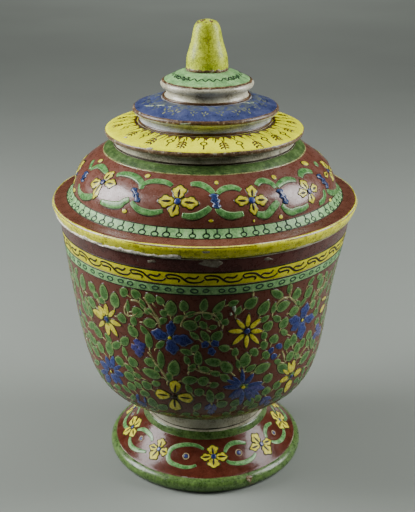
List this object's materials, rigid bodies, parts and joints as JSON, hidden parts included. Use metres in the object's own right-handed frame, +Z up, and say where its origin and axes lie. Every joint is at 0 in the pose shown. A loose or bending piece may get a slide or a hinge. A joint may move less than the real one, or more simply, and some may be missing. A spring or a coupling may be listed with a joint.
{
  "type": "lidded jar",
  "caption": "Round porcelain jar with a flared foot, a deep bowl and a domed, stepped lid that lifts off by a bell-shaped knob; enamelled all over with flowers and leaves.",
  "frame": {"origin": "middle of the foot's underside, on the plane that the jar stands on", "axes": "+Z up along the jar's axis of turning; the side that the picture shows faces -Y, with +X to its right"},
  "size_m": [0.1338, 0.1338, 0.2025],
  "materials": {
    "iron_red_enamel": "glossy",
    "green_enamel": "glossy",
    "white_glaze": "glossy",
    "lemon_yellow_enamel": "glossy",
    "cobalt_blue_enamel": "glossy",
    "pale_green_enamel": "glossy",
    "olive_yellow_enamel": "glossy"
  },
  "bodies": {
    "jar": {"jar_foot": "green_enamel", "jar_neck": "white_glaze", "jar_bowl": "iron_red_enamel"},
    "lid": {"lid_locating_ring": "white_glaze", "lid_dome": "iron_red_enamel", "lid_lower_tier": "lemon_yellow_enamel", "lid_middle_tier": "cobalt_blue_enamel", "lid_upper_tier": "pale_green_enamel", "lid_knob": "olive_yellow_enamel"}
  },
  "joints": [
    {"name": "lid_lift", "type": "slide", "parent": "jar", "child": "lid", "axis": [0, 0, 1], "range_m": [0, 0.12]}
  ]
}
